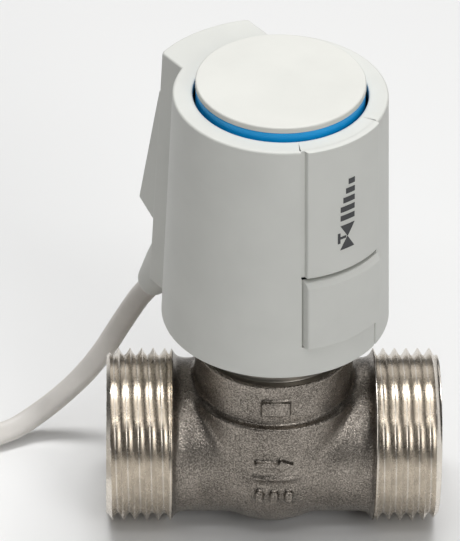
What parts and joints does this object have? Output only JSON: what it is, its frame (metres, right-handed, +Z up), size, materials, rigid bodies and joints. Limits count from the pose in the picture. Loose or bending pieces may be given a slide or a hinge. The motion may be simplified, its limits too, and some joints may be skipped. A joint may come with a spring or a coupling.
{
  "type": "zone valve",
  "caption": "Straight male-threaded valve body with a clip-on electrothermal actuator head, stroke indicator, release button and flat connecting cable.",
  "frame": {"origin": "where the valve's flow axis and its stem axis cross, in the middle of the body", "axes": "+Z up along the stem, +X along the flow as the cast arrow points, -Y the side with the cast arrow; the actuator's front faces 35.5 degrees from -Y towards +X"},
  "size_m": [0.1548, 0.0735, 0.1024],
  "materials": {
    "cast_nickel": "nickel-plated cast brass, shot-blasted grain, bright machined threads",
    "turned_brass": "turned brass",
    "steel": "turned stainless steel",
    "spring_steel": "spring wire",
    "rubber": "black EPDM",
    "grey_plastic": "light grey moulded plastic, fine satin texture",
    "white_plastic": "off-white moulded plastic, satin",
    "blue_plastic": "blue moulded plastic",
    "dark_plastic": "dark glass-filled plastic",
    "adapter_plastic": "light grey glass-filled plastic",
    "board_green": "solder-mask green board",
    "ceramic": "sintered heater ceramic",
    "cable_grey": "light grey flexible PVC sheath",
    "core_blue": "blue PVC core",
    "core_brown": "brown PVC core",
    "tie_white": "natural nylon"
  },
  "bodies": {
    "valve_and_head": {"valve_body": "cast_nickel", "bonnet": "turned_brass", "bonnet_seal": "rubber", "stem_seal": "rubber", "gland_nut": "turned_brass", "adapter_ring": "adapter_plastic", "housing": "grey_plastic", "front_panel": "grey_plastic", "rear_cover": "grey_plastic", "cable_plug": "grey_plastic", "circuit_board": "board_green", "socket_block": "dark_plastic", "contact_pin_1": "steel", "contact_pin_2": "steel", "base_plate": "dark_plastic", "abutment_bridge": "steel", "bridge_screw_1": "steel", "bridge_screw_2": "steel", "bridge_screw_3": "steel", "bridge_screw_4": "steel", "wax_piston": "steel", "spring_retainer": "dark_plastic", "cable": "cable_grey", "cable_coil": "cable_grey", "cable_tie": "tie_white", "cable_tail": "cable_grey", "cable_core_1": "core_blue", "cable_core_2": "core_brown", "ferrule_1": "steel", "ferrule_2": "steel"},
    "indicator_slide": {"plunger_foot": "dark_plastic", "carriage": "white_plastic", "wax_element": "turned_brass", "heater_disc": "ceramic", "heater_clip": "spring_steel", "indicator_ring": "blue_plastic", "indicator_cap": "white_plastic", "main_spring": "spring_steel"},
    "stem_slide": {"valve_stem": "steel", "valve_disc": "rubber", "disc_carrier": "turned_brass", "disc_retainer": "turned_brass", "stem_clip": "spring_steel", "valve_spring": "spring_steel"},
    "latch": {"latch_yoke": "dark_plastic", "release_button": "grey_plastic"}
  },
  "joints": [
    {"name": "indicator_lift", "type": "slide", "parent": "valve_and_head", "child": "indicator_slide", "axis": [0, 0, 1], "range_m": [-0.00275, 0.00125], "deforming": ["main_spring"]},
    {"name": "stem_lift", "type": "slide", "parent": "valve_and_head", "child": "stem_slide", "axis": [0, 0, 1], "range_m": [-0.00275, 0.00125], "deforming": ["valve_spring"]},
    {"name": "latch_press", "type": "slide", "parent": "valve_and_head", "child": "latch", "axis": [-0.5807, 0.8141, 0], "range_m": [0, 0.0015], "stiffness_N_per_m": 800, "springref_m": -0.004}
  ],
  "couplings": [
    {"joint": "stem_lift", "follows": "indicator_lift", "ratio": 1}
  ]
}
